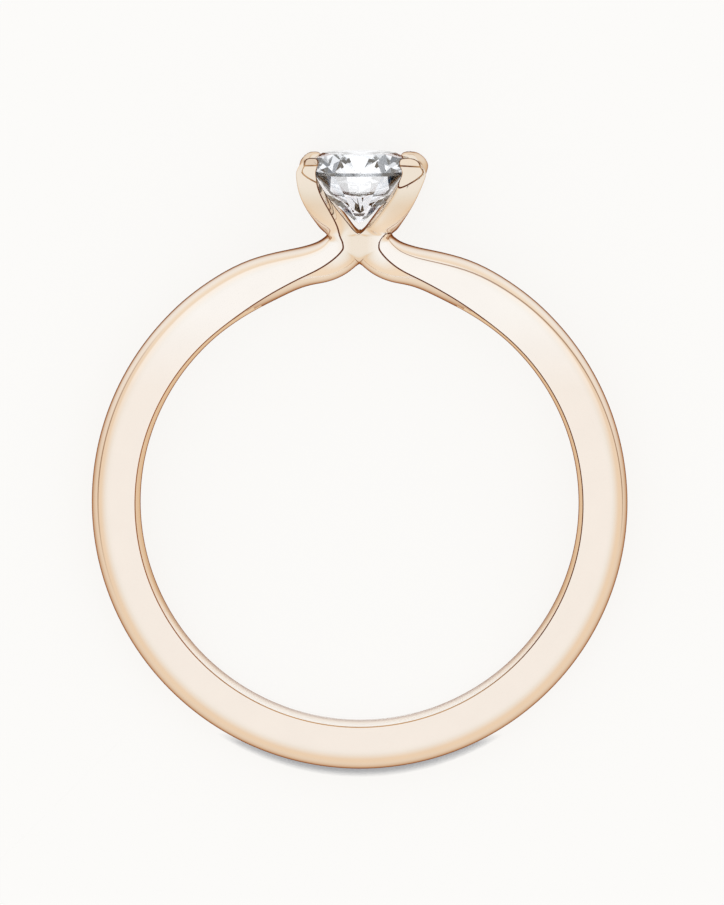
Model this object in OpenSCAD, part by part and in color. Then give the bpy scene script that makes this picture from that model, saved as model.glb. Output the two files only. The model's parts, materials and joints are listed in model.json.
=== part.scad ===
// Solitaire ring with four claws and a round brilliant stone, in millimetres.
// The origin is the centre of the finger hole. The ring lies on its side: the head points along +Y,
// and the ring rests on the far side of its band and on the stone's girdle, which stands out past the claws.

/* [Band] */
// Radius of the finger hole
hole_r = 8.65; // [8.4:0.05:9.0]
// Thickness of the band from the finger hole to the crown of its dome
band_t = 1.93; // [1.8:0.01:2.1]
// Half of the width of the band along the finger axis
band_half_w = 0.95; // [0.9:0.05:1.1]
// How far the edges of the finger side stand back from the finger hole
edge_setback = 0.17; // [0.12:0.01:0.2]
// Share of the side of the band that is flat before the dome begins
flat_share = 0.35; // [0.25:0.05:0.45]

/* [Head] */
// Angle from the head at which each shoulder leaves the round band
shoulder_angle = 38; // [38:1:42]
// Height of the table of the stone over the finger hole's wall
table_rise = 5.19; // [5.15:0.01:5.25]

/* [Stone] */
// Diameter of the stone at its girdle
stone_d = 4.8; // [4.6:0.05:4.8]
// Diameter of the table as a share of the girdle
table_share = 0.6; // [0.54:0.01:0.62]
// Slope of the kite facets above the girdle, in degrees
crown_angle = 34.5; // [33:0.5:35]
// Slope of the main facets below the girdle, in degrees
pavilion_angle = 40.6; // [40.2:0.2:41]
// Height of the girdle's upright edge
girdle_t = 0.12; // [0.08:0.01:0.14]
// Length of the star facets as a share of the way from table to girdle
star_share = 0.5; // [0.4:0.05:0.6]
// Length of the lower girdle facets as a share of the way from girdle to culet
lower_share = 0.77; // [0.7:0.01:0.82]

/* [Hidden] */

// The middle of the finger side is modelled this far inside the hole, and the hole then trims it to a true
// wall.
hole_trim = 0.1;
keel_r = hole_r - hole_trim;
edge_r = hole_r + edge_setback;
outer_r = hole_r + band_t;

// The half section of the band, crown first: the dome and the flat side as [share of the way from edge to
// crown, share of the half width], then the edge, then the finger side down to its inner end. A dome power
// of 1 is an ellipse, and a smaller one is squarer.
dome_steps = 6;
function dome_shares(power) = [for (i = [0 : dome_steps])
    let (a = 90 * i / dome_steps)
    [flat_share + (1 - flat_share) * pow(cos(a), power), pow(sin(a), power)]];
// Shares of the way from the finger side's inner end to the edge at which it has points: spread, and gathered
spread_shares = [0.85, 0.7, 0.45, 0];
gathered_shares = [0.8, 0.4, 0.06, 0];

// Steps on each stretch between two shoulder rows, and between two claw rows
shoulder_steps = 2;
claw_steps = 3;

// A shoulder row is [outer x, outer rise, edge x, edge rise, inner x, inner rise, inner z, half width, dome
// power, up power, side power, gather], where a rise is the height over the finger hole's wall. The first
// rows follow the band, and the others turn up to the place where the two shoulders meet back to back. The
// finger side ends on the ring's middle plane (inner z = 0) until the shoulders meet, and then on the plane
// between them (inner x = 0), where it is a shallow valley. Its up and side powers shape the way from the
// inner end to the edge: a side power under 1 is well rounded, and one of about 2 is hollow. Gather is 1
// where its points lie close to the inner end.
band_angles = [for (i = [0 : 8]) 90 - i * (90 - shoulder_angle) / 8];
polar_angles = [30, 22.5, 15];
function on_band(r, angle) = [r * sin(angle), r * cos(angle) - hole_r];
function leave(angle, power) =
    angle >= shoulder_angle ? 0 : pow((shoulder_angle - angle) / (shoulder_angle - 15), power);
polar_rows = [for (angle = concat(band_angles, polar_angles))
    concat(
        on_band(outer_r - 0.2 * leave(angle, 3), angle),
        on_band(edge_r + 0.4 * leave(angle, 1.8), angle),
        on_band(keel_r + 0.16 * leave(angle, 5), angle),
        [0, band_half_w, 1, 2, 1 - 0.2 * leave(angle, 2), 0])];
turn_rows = [
    [2.20, 1.49, 1.75, 0.56, 1.55, 0.00, 0.00, band_half_w, 1.00, 2, 0.9, 0],
    [1.72, 1.64, 1.28, 0.84, 1.05, 0.14, 0.00, band_half_w, 0.95, 2, 0.8, 0],
    [1.48, 1.78, 0.88, 1.15, 0.48, 0.42, 0.00, band_half_w + 0.01, 0.85, 2, 0.7, 0],
    [1.37, 1.86, 0.66, 1.40, 0.00, 0.80, 0.00, band_half_w + 0.02, 0.78, 2, 0.6, 0],
    [1.33, 1.89, 0.62, 1.52, 0.00, 0.88, 0.56, band_half_w + 0.03, 0.74, 1, 0.6, 0.4],
    [1.31, 1.92, 0.63, 1.65, 0.00, 1.14, 0.79, band_half_w + 0.05, 0.70, 1, 1.0, 0.7],
    [1.29, 1.95, 0.66, 1.77, 0.00, 1.55, 0.86, band_half_w + 0.08, 0.65, 1, 1.7, 1],
    [1.29, 1.98, 0.71, 1.88, 0.00, 1.95, 0.86, band_half_w + 0.11, 0.60, 1, 1.9, 1]];

// The shoulder's last section, level with the bottom of the open V: the crown and the edge as [x, rise], its
// half width and dome power, and its points from the edge to the rib beside the V and to the notch behind
// it, as [x, rise, z]
v_crown = [1.29, 2.00];
v_edge = [0.75, 1.98];
v_half_w = band_half_w + 0.14;
v_dome_power = 0.55;
v_points = [[0.58, 2.01, 0.97], [0.32, 2.02, 0.92], [0.03, 1.99, 0.87], [0, 1.78, 0]];
// Places along the line from the notch to the crown, where the slit between the two claws starts
slit_shares = [0.3, 0.7, 0.9];

// A claw row is [rise, edge x, edge z, rib x, rib z, outer radius, inner radius, split]. The rib is the
// crisp edge beside the stone. Split is 0 where the claws in front and behind part, and 1 where the claw's
// section is alike on both sides of its diagonal.
claw_rows = [
    [2.20, 0.80, 1.19, 0.20, 0.93, 1.66, 0.30, 0.12],
    [2.50, 0.89, 1.40, 0.42, 1.06, 2.14, 0.64, 0.50],
    [3.10, 1.18, 1.76, 0.88, 1.40, 2.84, 1.28, 0.95],
    [3.75, 1.52, 2.08, 1.31, 1.80, 3.27, 1.90, 1.00],
    [4.35, 1.67, 2.22, 1.62, 2.04, 3.50, 2.44, 1.00],
    [4.60, 1.67, 2.22, 1.63, 2.02, 3.50, 2.44, 1.00],
    [4.82, 1.62, 2.12, 1.60, 1.94, 3.36, 2.22, 1.00],
    [5.02, 1.62, 1.99, 1.58, 1.80, 3.10, 2.24, 1.00],
    [5.11, 1.75, 1.92, 1.69, 1.83, 2.82, 2.48, 1.00]];
// Where the two claws part, the slit's inner corner stands out this far, and the points on the outer side are
// turned back towards the slit to this share
root_stand = 0.16;
root_turn = 0.7;
// The face beside the stone steps down from the edge over this width, by this share of the depth to the rib
step_w = 0.2;
step_share = 0.6;
// How far the front of a claw bulges past its edge, as a share of a round claw's bulge
front_bulge = 0.12;

// The two flat faces filed on the front of each tip meet in a level ridge. This is a point of the ridge as
// x, rise and z, how fast both faces come forward outwards, and how fast the lower and the upper one fall
// back upwards.
ridge = [1.70, 4.92, 1.945];
side_slope = 0.32;
lower_slope = 0.27;
upper_slope = 0.62;
// The block filed off in front of the two faces: [inner x, outer x], [low rise, high rise] and its front
filed_x = [1.2, 3.1];
filed_rise = [3.6, 5.4];
filed_front = 3.2;

// Smooth curve through rows of equal length, with a number of steps on each stretch
function spline_at(a, b, c, d, t) =
    0.5 * (2 * b + (c - a) * t + (2 * a - 5 * b + 4 * c - d) * t * t + (3 * b - a - 3 * c + d) * t * t * t);
function smooth_rows(rows, steps) =
    let (last = len(rows) - 1)
    concat(
        [for (i = [0 : last - 1], k = [0 : steps - 1])
            spline_at(rows[max(i - 1, 0)], rows[i], rows[i + 1], rows[min(i + 2, last)], k / steps)],
        [rows[last]]);
function between(a, b, share) = a + (b - a) * share;

// Points from the crown over the front side to the edge, and on to the inner end
function outer_side(crown, edge, half_w, dome_power) = concat(
    [for (s = dome_shares(dome_power)) concat(between(edge, crown, s[0]), half_w * s[1])],
    [concat(edge, half_w)]);
function half_section(crown, edge, inner, inner_z, half_w, dome_power, up_power, side_power, gather) = concat(
    outer_side(crown, edge, half_w, dome_power),
    [for (k = [0 : 3])
        let (share = between(spread_shares[k], gathered_shares[k], gather))
        concat(
            between(inner, edge, pow(share, up_power)),
            between(inner_z, half_w, pow(share, side_power)))]);
function shoulder_half(row) =
    half_section(
        [row[0], row[1] + hole_r], [row[2], row[3] + hole_r], [max(row[4], 0), row[5] + hole_r],
        max(row[6], 0), row[7], row[8], row[9], row[10], row[11]);

// One closed ring of points around the claw in front, worked out along and across its diagonal, in the order
// of the half section: outer side up to the edge, the face beside the stone to its rib, and back along the
// slit
function on_diagonal(along, across, y) = [(along - across) / sqrt(2), y, (along + across) / sqrt(2)];
function outer_arc(corner, outer, a, y) =
    on_diagonal(corner[0] + (outer - corner[0]) * sin(a), corner[1] * cos(a), y);
function inner_arc(corner, inner, b, y) =
    on_diagonal(inner + (corner[0] - inner) * b * b, corner[1] * b, y);
function flat_front(p, edge_z) = [p[0], p[1], min(p[2], between(edge_z, p[2], front_bulge))];
function claw_ring(row) =
    let (
        y = row[0] + hole_r,
        edge = [row[1] + row[2], row[2] - row[1]] / sqrt(2),
        rib = [row[3], y, row[4]],
        step = [max(row[1] - step_w, (row[1] + row[3]) / 2), y, between(row[2], row[4], step_share)],
        slit_x = row[2] + (1 - row[7]) * root_stand,
        slit_z = row[1] * row[7],
        slit = [slit_x + slit_z, slit_z - slit_x] / sqrt(2),
        turn = between(root_turn, 1, row[7]))
    concat(
        [for (a = [36, 54, 72, 90]) flat_front(outer_arc(slit, row[5], a * turn, y), row[2])],
        [for (a = [67.5, 45, 22.5, 0]) flat_front(outer_arc(edge, row[5], a, y), row[2])],
        [step, (step + rib) / 2, rib, inner_arc(edge, row[6], 0, y)],
        [for (b = [0.5, 1]) inner_arc(slit, row[6], b, y)],
        [outer_arc(slit, row[5], 18 * turn, y)]);

// Height of the filed faces towards the front at a place on the tip
function face_z(x, rise) =
    let (slope = rise < ridge[1] ? lower_slope : upper_slope)
    ridge[2] + side_slope * (x - ridge[0]) - slope * (rise - ridge[1]);

// The front right quarter: the half sections of the shoulder, the start of the slit, and the rings of the
// claw
up = [0, hole_r];
v_half = concat(
    outer_side(v_crown + up, v_edge + up, v_half_w, v_dome_power),
    [for (p = v_points) p + [0, hole_r, 0]]);
smooth_halves = smooth_rows([for (row = concat(polar_rows, turn_rows)) shoulder_half(row)], shoulder_steps);
shoulder_halves = concat(
    [for (half = smooth_halves) [for (p = half) [max(p[0], 0), p[1], max(p[2], 0)]]],
    [v_half]);
slit_points = [for (s = slit_shares) between(v_half[len(v_half) - 1], v_half[0], s)];
claw_rings = smooth_rows([for (row = claw_rows) claw_ring(row)], claw_steps);

// Triangles between two rows of point numbers. A shoulder's strip ends at the last point. A claw's strip
// goes round, and its quads are split along the other diagonal.
function open_strip(low, high) =
    [for (j = [0 : len(low) - 2])
        each [[low[j], low[j + 1], high[j + 1]], [low[j], high[j + 1], high[j]]]];
function closed_strip(low, high) =
    [for (j = [0 : len(low) - 1])
        let (k = (j + 1) % len(low))
        each [[low[j], low[k], high[j]], [low[k], high[k], high[j]]]];
function reversed(list) = [for (i = [len(list) - 1 : -1 : 0]) list[i]];
function counted(first, n) = [for (j = [0 : n - 1]) first + j];

// The quarter's points, and its outer faces as lists of point numbers
half_n = len(v_half);
halves = len(shoulder_halves);
claw_n = len(claw_rings[0]);
slit_first = half_n * halves;
claw_first = slit_first + len(slit_points);
tip_first = claw_first + claw_n * (len(claw_rings) - 1);
quarter_points = concat(
    [for (half = shoulder_halves) each half],
    slit_points,
    [for (ring = claw_rings) each ring]);
claw_root = concat(counted(half_n * (halves - 1), half_n), counted(slit_first, len(slit_points)));
quarter_faces = concat(
    [for (i = [0 : halves - 2])
        each open_strip(counted(i * half_n, half_n), counted((i + 1) * half_n, half_n))],
    closed_strip(claw_root, counted(claw_first, claw_n)),
    [for (i = [0 : len(claw_rings) - 2])
        let (low = claw_first + i * claw_n)
        each closed_strip(counted(low, claw_n), counted(low + claw_n, claw_n))],
    [counted(tip_first, claw_n)]);

// The heights of the stone's girdle and facets
girdle_r = stone_d / 2;
table_r = girdle_r * table_share;
crown_h = (girdle_r - table_r) * tan(crown_angle);
table_y = hole_r + table_rise;
girdle_top_y = table_y - crown_h;
girdle_low_y = girdle_top_y - girdle_t;
flat_cos = cos(22.5);
star_r = table_r * flat_cos + star_share * (girdle_r - table_r * flat_cos);
star_y = girdle_top_y + (girdle_r - star_r * flat_cos) * tan(crown_angle);
lower_r = girdle_r * (1 - lower_share);
lower_y = girdle_low_y - (girdle_r - lower_r * flat_cos) * tan(pavilion_angle);
culet_y = girdle_low_y - girdle_r * tan(pavilion_angle);

// The tilt at which the ring lies: the steepest line from the band's far side to the girdle or to a claw
rest_reach = edge_r + flat_share * (outer_r - edge_r);
function rest_slope(y, z) = (z - band_half_w) / (y + rest_reach);
claw_slopes = [for (ring = claw_rings, p = ring) rest_slope(p[1], min(p[2], face_z(p[0], p[1] - hole_r)))];
rest_tilt = atan(max(rest_slope(girdle_low_y, girdle_r), max(claw_slopes)));

// Turns the upright ring down onto its side
module at_rest() {
    rotate([rest_tilt, 0, 0]) children();
}

// The half of the band that lies away from the head
module far_band() {
    front = half_section([outer_r, 0], [edge_r, 0], [keel_r, 0], 0, band_half_w, 1, 2, 1, 0);
    outline = concat(
        [for (p = front) [p[0], p[2]]],
        [for (i = [half_n - 2 : -1 : 1]) [front[i][0], -front[i][2]]]);
    rotate([0, 0, 180]) rotate_extrude(angle = 180, $fn = 180) polygon(outline);
}

// The half of the band towards the head, with both shoulders and the four claws, as one closed surface
module near_band_and_claws() {
    n = len(quarter_points);
    // Each quarter is [side, face of the ring], and its points start after those of the quarters before it
    quarters = [[1, 1], [-1, 1], [1, -1], [-1, -1]];
    points = [for (q = quarters, p = quarter_points) [p[0] * q[0], p[1], p[2] * q[1]]];
    faces = [for (i = [0 : 3], face = quarter_faces)
        let (there = [for (k = face) k + i * n])
        quarters[i][0] * quarters[i][1] > 0 ? there : reversed(there)];
    // A band's cut end, around the front quarter's side and back along the one behind it
    cut_end = concat(counted(0, half_n), [for (k = [half_n - 2 : -1 : 1]) 2 * n + k]);
    polyhedron(
        points = points,
        faces = concat(faces, [reversed(cut_end), [for (k = cut_end) k + n]]),
        convexity = 8);
}

// The block filed off the tip of the front claw on the right
module filed_off() {
    corners = [
        for (x = filed_x)
        each [
            for (rise = [filed_rise[0], ridge[1], filed_rise[1]]) [x, rise + hole_r, face_z(x, rise)],
            for (rise = [filed_rise[1], filed_rise[0]]) [x, rise + hole_r, filed_front]]];
    polyhedron(
        points = corners,
        faces = [
            [0, 1, 2, 3, 4],
            [9, 8, 7, 6, 5],
            for (k = [0 : 4]) let (n = (k + 1) % 5) [k, k + 5, n + 5, n]],
        convexity = 2);
}

module band_and_claws() {
    color([0.91, 0.80, 0.71])
        at_rest()
            difference() {
                union() {
                    far_band();
                    near_band_and_claws();
                }
                for (side = [0, 1], back = [0, 1])
                    mirror([side, 0, 0]) mirror([0, 0, back]) filed_off();
                cylinder(r = hole_r, h = 4 * band_half_w, center = true, $fn = 180);
            }
}

// The stone's facets lie between rings of points, from the table down to the culet
function stone_point(r, angle, y) = [r * sin(angle), y, r * cos(angle)];

module stone() {
    table = [for (k = [0 : 7]) stone_point(table_r, 45 * k, table_y)];
    stars = [for (k = [0 : 7]) stone_point(star_r, 45 * k + 22.5, star_y)];
    girdle_top = [for (k = [0 : 15]) stone_point(girdle_r, 22.5 * k, girdle_top_y)];
    girdle_low = [for (k = [0 : 15]) stone_point(girdle_r, 22.5 * k, girdle_low_y)];
    lowers = [for (k = [0 : 7]) stone_point(lower_r, 45 * k + 22.5, lower_y)];
    culet = stone_point(0, 0, culet_y);
    points = concat(table, stars, girdle_top, girdle_low, lowers, [culet]);
    // Index of the first point of each ring
    s = 8;
    g = 16;
    h = 32;
    l = 48;
    c = 56;
    faces = concat(
        [[for (k = [7 : -1 : 0]) k]],
        [for (k = [0 : 7]) each let (n = (k + 1) % 8, p = (k + 7) % 8, e = 2 * k, o = 2 * k + 1, f = 2 * n) [
            [k, n, s + k],
            [k, s + k, g + e, s + p],
            [s + k, g + o, g + e],
            [s + k, g + f, g + o],
            [g + e, g + o, h + o, h + e],
            [g + o, g + f, h + f, h + o],
            [h + e, h + o, l + k],
            [h + o, h + f, l + k],
            [h + e, l + k, c, l + p]]]);
    color([0.93, 0.95, 0.97, 0.6]) at_rest() polyhedron(points = points, faces = faces, convexity = 4);
}

band_and_claws();
stone();
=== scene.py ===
import json
import math
from collections import namedtuple

import bmesh
import bpy
from mathutils import Matrix, Vector

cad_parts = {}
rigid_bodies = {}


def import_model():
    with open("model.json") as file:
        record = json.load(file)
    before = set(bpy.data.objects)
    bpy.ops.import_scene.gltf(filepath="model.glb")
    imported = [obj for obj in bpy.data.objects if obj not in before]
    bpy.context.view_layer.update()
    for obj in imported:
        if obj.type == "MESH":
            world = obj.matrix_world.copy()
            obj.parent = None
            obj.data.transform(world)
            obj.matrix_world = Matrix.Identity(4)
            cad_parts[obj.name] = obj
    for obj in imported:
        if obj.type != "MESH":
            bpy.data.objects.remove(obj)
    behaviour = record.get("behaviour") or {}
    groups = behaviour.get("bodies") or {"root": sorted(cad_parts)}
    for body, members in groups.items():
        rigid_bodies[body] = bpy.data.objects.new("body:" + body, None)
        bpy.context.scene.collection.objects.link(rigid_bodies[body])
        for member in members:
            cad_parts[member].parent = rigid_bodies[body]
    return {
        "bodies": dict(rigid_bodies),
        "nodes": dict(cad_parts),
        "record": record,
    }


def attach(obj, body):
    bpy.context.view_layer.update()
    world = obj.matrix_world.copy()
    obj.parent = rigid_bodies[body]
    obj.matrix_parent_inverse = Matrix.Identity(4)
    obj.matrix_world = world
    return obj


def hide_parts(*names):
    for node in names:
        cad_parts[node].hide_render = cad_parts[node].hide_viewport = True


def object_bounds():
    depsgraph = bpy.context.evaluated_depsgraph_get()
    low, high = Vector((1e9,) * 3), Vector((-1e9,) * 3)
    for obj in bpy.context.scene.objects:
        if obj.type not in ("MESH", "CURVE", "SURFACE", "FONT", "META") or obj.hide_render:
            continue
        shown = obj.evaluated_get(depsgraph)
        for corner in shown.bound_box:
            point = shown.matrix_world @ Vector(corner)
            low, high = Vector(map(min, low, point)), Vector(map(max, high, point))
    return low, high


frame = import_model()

bl_info = {
    "name": "Solitaire Ring",
    "version": (1, 0, 0),
    "blender": (4, 5, 0),
    "location": "3D View > Sidebar > Ring",
    "description": "Models a four-claw solitaire ring lying on its side, with its stone and a small studio",
    "category": "Add Mesh",
}

MM = 0.001
CAD_BOX = [list(corner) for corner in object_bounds()]

# The ring is modelled upright in millimetres, with the middle of the finger hole at the origin, the finger
# axis along Z and the head along +Y. A rise is a height over the finger hole's wall. It is laid down last.
BORE = frame["record"]["mounts"][0]
BORE_AXIS = Vector(BORE["axis"])
REST_TILT = math.atan2(-BORE_AXIS.y, BORE_AXIS.z)
HOLE_R = BORE["dims"]["r_mm"]
FLOOR_Z = CAD_BOX[0][2]

# Angles from the head of the last sections that still follow the round of the shank, and what changes in
# them, each by an amount that grows by a power: the crown sinks, the edge and the finger side move out, and
# the section becomes rounder
LEAVE_ANGLES = [math.radians(angle) for angle in (30, 22.5, 15)]
CROWN_SINKS = (0.2, 3)
EDGE_MOVES_OUT = (0.4, 1.8)
FINGER_SIDE_MOVES_OUT = (0.16, 5)
SECTION_ROUNDS = (0.4, 2)
SPIN_STEPS = 22

# Rows across one shoulder, from the round shank up to the place where the two shoulders stand back to back.
# The finger side ends on the ring's middle plane (inner z = 0) until the shoulders meet, and then on the
# plane between them (inner x = 0), where it is a shallow valley. Fullness is 1 where it is well rounded.
ShoulderRow = namedtuple(
    "ShoulderRow", "outer_x outer_rise edge_x edge_rise inner_x inner_rise inner_z wider dome_power fullness")
SHOULDER_ROWS = [
    ShoulderRow(2.20, 1.49, 1.75, 0.56, 1.55, 0.02, 0.00, 0.00, 1.00, 0.2),
    ShoulderRow(1.72, 1.64, 1.28, 0.84, 1.05, 0.15, 0.00, 0.00, 0.95, 0.4),
    ShoulderRow(1.48, 1.78, 0.88, 1.15, 0.48, 0.42, 0.00, 0.01, 0.85, 0.6),
    ShoulderRow(1.37, 1.86, 0.66, 1.40, 0.00, 0.80, 0.00, 0.02, 0.78, 0.8),
    ShoulderRow(1.33, 1.89, 0.62, 1.52, 0.00, 0.88, 0.56, 0.03, 0.74, 1.0),
    ShoulderRow(1.31, 1.92, 0.63, 1.65, 0.00, 1.14, 0.79, 0.05, 0.70, 0.5),
    ShoulderRow(1.29, 1.95, 0.66, 1.77, 0.00, 1.55, 0.86, 0.08, 0.65, 0.1),
    ShoulderRow(1.29, 1.98, 0.71, 1.88, 0.00, 1.95, 0.86, 0.11, 0.60, 0.0),
    ShoulderRow(1.29, 2.00, 0.75, 1.98, 0.00, 1.78, 0.00, 0.14, 0.55, 0.0),
]
# The last row's two points of the valley, next to the bottom of the open V
V_ROOT = (Vector((0.58, 2.01, 0.97)), Vector((0.05, 2.00, 0.875)))

# Rows across the front claw on the right. Radii are measured along the claw's diagonal. The rib is the edge
# beside the stone. Split is 0 where the claws in front and behind part, and 1 where the claw is alike on
# both sides of its diagonal.
ClawRow = namedtuple("ClawRow", "rise edge_x edge_z rib_x rib_z outer_radius inner_radius split")
CLAW_ROWS = [
    ClawRow(2.20, 0.80, 1.19, 0.20, 0.93, 1.74, 0.30, 0.12),
    ClawRow(2.50, 0.89, 1.40, 0.42, 1.06, 2.14, 0.64, 0.50),
    ClawRow(3.10, 1.18, 1.76, 0.88, 1.40, 2.84, 1.28, 0.95),
    ClawRow(3.75, 1.52, 2.08, 1.31, 1.80, 3.27, 1.90, 1.00),
    ClawRow(4.35, 1.67, 2.22, 1.64, 2.06, 3.50, 2.44, 1.00),
    ClawRow(4.60, 1.67, 2.22, 1.65, 2.06, 3.50, 2.44, 1.00),
    ClawRow(4.82, 1.62, 2.12, 1.60, 1.96, 3.36, 2.22, 1.00),
    ClawRow(5.02, 1.62, 1.99, 1.60, 1.82, 3.10, 2.24, 1.00),
    ClawRow(5.11, 1.75, 1.92, 1.74, 1.86, 2.82, 2.48, 1.00),
]
# The face beside the stone steps down from the edge over this width, by this share of the depth to the rib
RIB_STEP = 0.20
RIB_STEP_RISE = 0.4
# The rib is crisp up to this many claw rows
CRISP_RIB_ROWS = 6
# Where the claws in front and behind part: places along the line from the notch to the crown, how far the
# slit's corner stands out, and to what share the outer side's points are turned back towards the slit
SLIT_SHARES = (0.3, 0.7, 0.9)
SLIT_ROOT_STAND = 0.16
SLIT_ROOT_TURN = 0.7
SLIT_CREASE = 0.8
# Turns of the points around a claw's outer side from its front edge, in degrees, and how far towards the
# slit the point on its inner side stands
CLAW_TURNS = (0, 30, 60, 90)
INNER_SHARE = 0.55
# How far the front face of a claw still bulges, as a share of a round one
FRONT_BULGE = 0.12

# The filed faces of the tips in front: a point on the face and the way it looks
TIP_CUTS = [
    (Vector((1.76, 4.03, 2.15)), Vector((-0.28, 0.22, 0.93))),
    (Vector((1.76, 4.90, 1.91)), Vector((-0.24, 0.50, 0.83))),
    (Vector((-1.63, 4.23, 2.17)), Vector((0.32, 0.28, 0.90))),
    (Vector((-1.63, 4.93, 1.915)), Vector((0.285, 0.525, 0.80))),
]
# The tips behind are filed in the same way, seen from the back
BACK_TIP_CUTS = [
    (Vector((-place.x, place.y, -place.z)), Vector((-looks.x, looks.y, -looks.z)))
    for place, looks in TIP_CUTS]
# The file reaches only what rises above this, and stands this far in front of or behind the ring's middle
CUT_FLOOR = 3.6
CUT_DEPTH = 0.5
# The head was set by hand, a little to the right: its left claws stand further in and its right ones further
# out. Moved is what lies outside the first number and between the two rises, to the right by so much on the
# left and on the right side, and the metal around it follows within a reach.
WIDEST_CLAW = (2.1, 4.0, 4.9)
SET_LEFT = 0.10
SET_RIGHT = 0.13
SET_REACH = 0.9

# The front of the right shoulder was finished by hand with a curved crease of its own, which runs from the
# edge over to the notch, while the claw grows out of the valley without one. These are shifts in x and rise
# of the edge's points on the last shoulder rows and of the last row's dome from the edge towards the crown,
# and in x of the edge and of the step beside it on the claw's first rows.
CREASE_EDGE_SHIFTS = [
    (0.02, 0.04), (0.14, 0.0), (0.17, 0.0), (0.175, 0.0), (0.17, 0.0), (0.175, 0.0), (0.19, 0.0), (0.23, 0.0)]
CREASE_DOME_SHIFTS = [(0.13, 0.08), (0.02, 0.11), (0.03, 0.07)]
CLAW_EDGE_SHIFTS = [-0.30, -0.20, -0.10, -0.04]
CLAW_STEP_SHIFTS = [-0.26, -0.17, -0.09, -0.03]

# Points of a half section: turns around the dome, then the edge, then the finger side with its rib
DOME_TURNS = (0, 30, 60, 90)
EDGE = len(DOME_TURNS)
RIB = EDGE + 2
# Two points of the finger side between its edge and its end: how far out, and how far to the front
THIN_STRIP = ((0.44, 0.66), (0.11, 0.33))
FULL_ROUND = ((0.46, 0.84), (0.13, 0.50))
VALLEY = ((0.64, 0.42), (0.32, 0.12))

# In millimetres, two points closer than CLOSE are the same point when one is looked for, doubles within WELD
# are merged, and a move shorter than STILL isn't made
CLOSE = 1e-3
WELD = 1e-4
STILL = 1e-8
SMOOTH_ANGLE = math.radians(30)
# The finger side's own finish ends at this share of the hole's radius towards the head
FINGER_SIDE_TOP = 0.9

# The girdle's low and high edge, as rises
GIRDLE = (4.41, 4.53)


class RingSizes(bpy.types.PropertyGroup):
    """Sizes of the metal."""

    shank_thickness: bpy.props.FloatProperty(
        name="Shank Thickness", description="From the finger hole to the crown of the dome",
        default=1.93 * MM, unit="LENGTH", precision=5)
    half_width: bpy.props.FloatProperty(
        name="Half Width", description="Half of the shank's width along the finger axis",
        default=0.95 * MM, unit="LENGTH", precision=5)
    edge_setback: bpy.props.FloatProperty(
        name="Edge Setback", description="How far the edges of the finger side stand back from the hole",
        default=0.17 * MM, unit="LENGTH", precision=5)
    flat_share: bpy.props.FloatProperty(
        name="Flat Share", description="Share of the shank's side that is flat before the dome begins",
        default=0.38, min=0.2, max=0.6, subtype="FACTOR")
    shoulder_angle: bpy.props.FloatProperty(
        name="Shoulder Angle", description="Angle from the head at which a shoulder leaves the round shank",
        default=math.radians(38), subtype="ANGLE")
    edge_round: bpy.props.FloatProperty(
        name="Edge Rounding", description="Width of the polished rounding along the crisp edges",
        default=0.032 * MM, unit="LENGTH", precision=6)


def colour_property(name, description, colour):
    return bpy.props.FloatVectorProperty(
        name=name, description=description, subtype="COLOR", default=colour, size=3, min=0, max=1)


class FinishColours(bpy.types.PropertyGroup):
    """Colours of the finishes."""

    gold: colour_property("Rose Gold", "Polished metal of the shank", (0.90, 0.79, 0.69))
    gold_rim: colour_property("Rose Gold Rim", "Tint of the metal where it turns away", (0.42, 0.20, 0.08))
    # Painted highlight: the metal's colour painted lighter towards the head
    gold_painted_light_head: colour_property("By the Head", "Metal where it is polished brightest", (0.94, 0.87, 0.80))
    # Painted shade: a darker tan painted on the claws and in the valley
    gold_painted_shade_claws: colour_property("Claws", "Metal of the claws and the valley", (0.85, 0.73, 0.60))
    # Painted light: near white painted on the finger side towards the ring's bottom
    gold_painted_light_bottom: colour_property("Worn Matt", "Metal worn matt by the finger", (0.98, 0.95, 0.92))
    finger_side_rim: colour_property("Finger Side Rim", "Tint of the finger side", (0.96, 0.92, 0.86))
    # Painted shade: the crisp edges are painted dark, lighter on the left side, towards the bottom and in
    # patches on the tips
    edge_painted_dark: colour_property("Edge", "Crisp edges on the ring's right side", (0.13, 0.036, 0.010))
    edge_painted_left: colour_property("Left Edge", "Crisp edges on the ring's left side", (0.36, 0.13, 0.035))
    edge_painted_light: colour_property("Worn Edge", "Edges that wear has brightened", (0.60, 0.36, 0.18))
    stone: colour_property("Stone", "Clear cut stone", (1.0, 1.0, 1.0))
    stone_haze: colour_property("Stone Haze", "Faint haze in the stone", (0.96, 0.97, 0.985))
    # Dark dashes painted along the girdle
    girdle_dark: colour_property("Girdle", "Dark grinding along the girdle", (0.02, 0.02, 0.025))


class StudioColours(bpy.types.PropertyGroup):
    """Colours of the studio."""

    floor: colour_property("Floor", "Pale floor that the ring lies on", (0.965, 0.956, 0.939))
    floor_shadow: colour_property("Floor Shadow", "Floor close under the ring", (0.30, 0.31, 0.33))
    plain_light: colour_property("Plain Light", "Light that falls on the floor", (0.965, 0.956, 0.939))
    box_edge: colour_property("Light Box Edge", "Dark frame of a light box", (0.30, 0.15, 0.07))
    camera_dark: colour_property("Camera", "Dark of the camera in the stone", (0.06, 0.08, 0.12))


def deselect_all():
    if bpy.context.object and bpy.context.object.mode != "OBJECT":
        bpy.ops.object.mode_set(mode="OBJECT")
    bpy.ops.object.select_all(action="DESELECT")


def edit(piece):
    """Open a piece in edit mode with nothing selected."""
    deselect_all()
    piece.select_set(True)
    bpy.context.view_layer.objects.active = piece
    bpy.ops.object.mode_set(mode="EDIT")
    bpy.ops.mesh.select_mode(type="VERT")
    bpy.ops.mesh.select_all(action="DESELECT")


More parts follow.
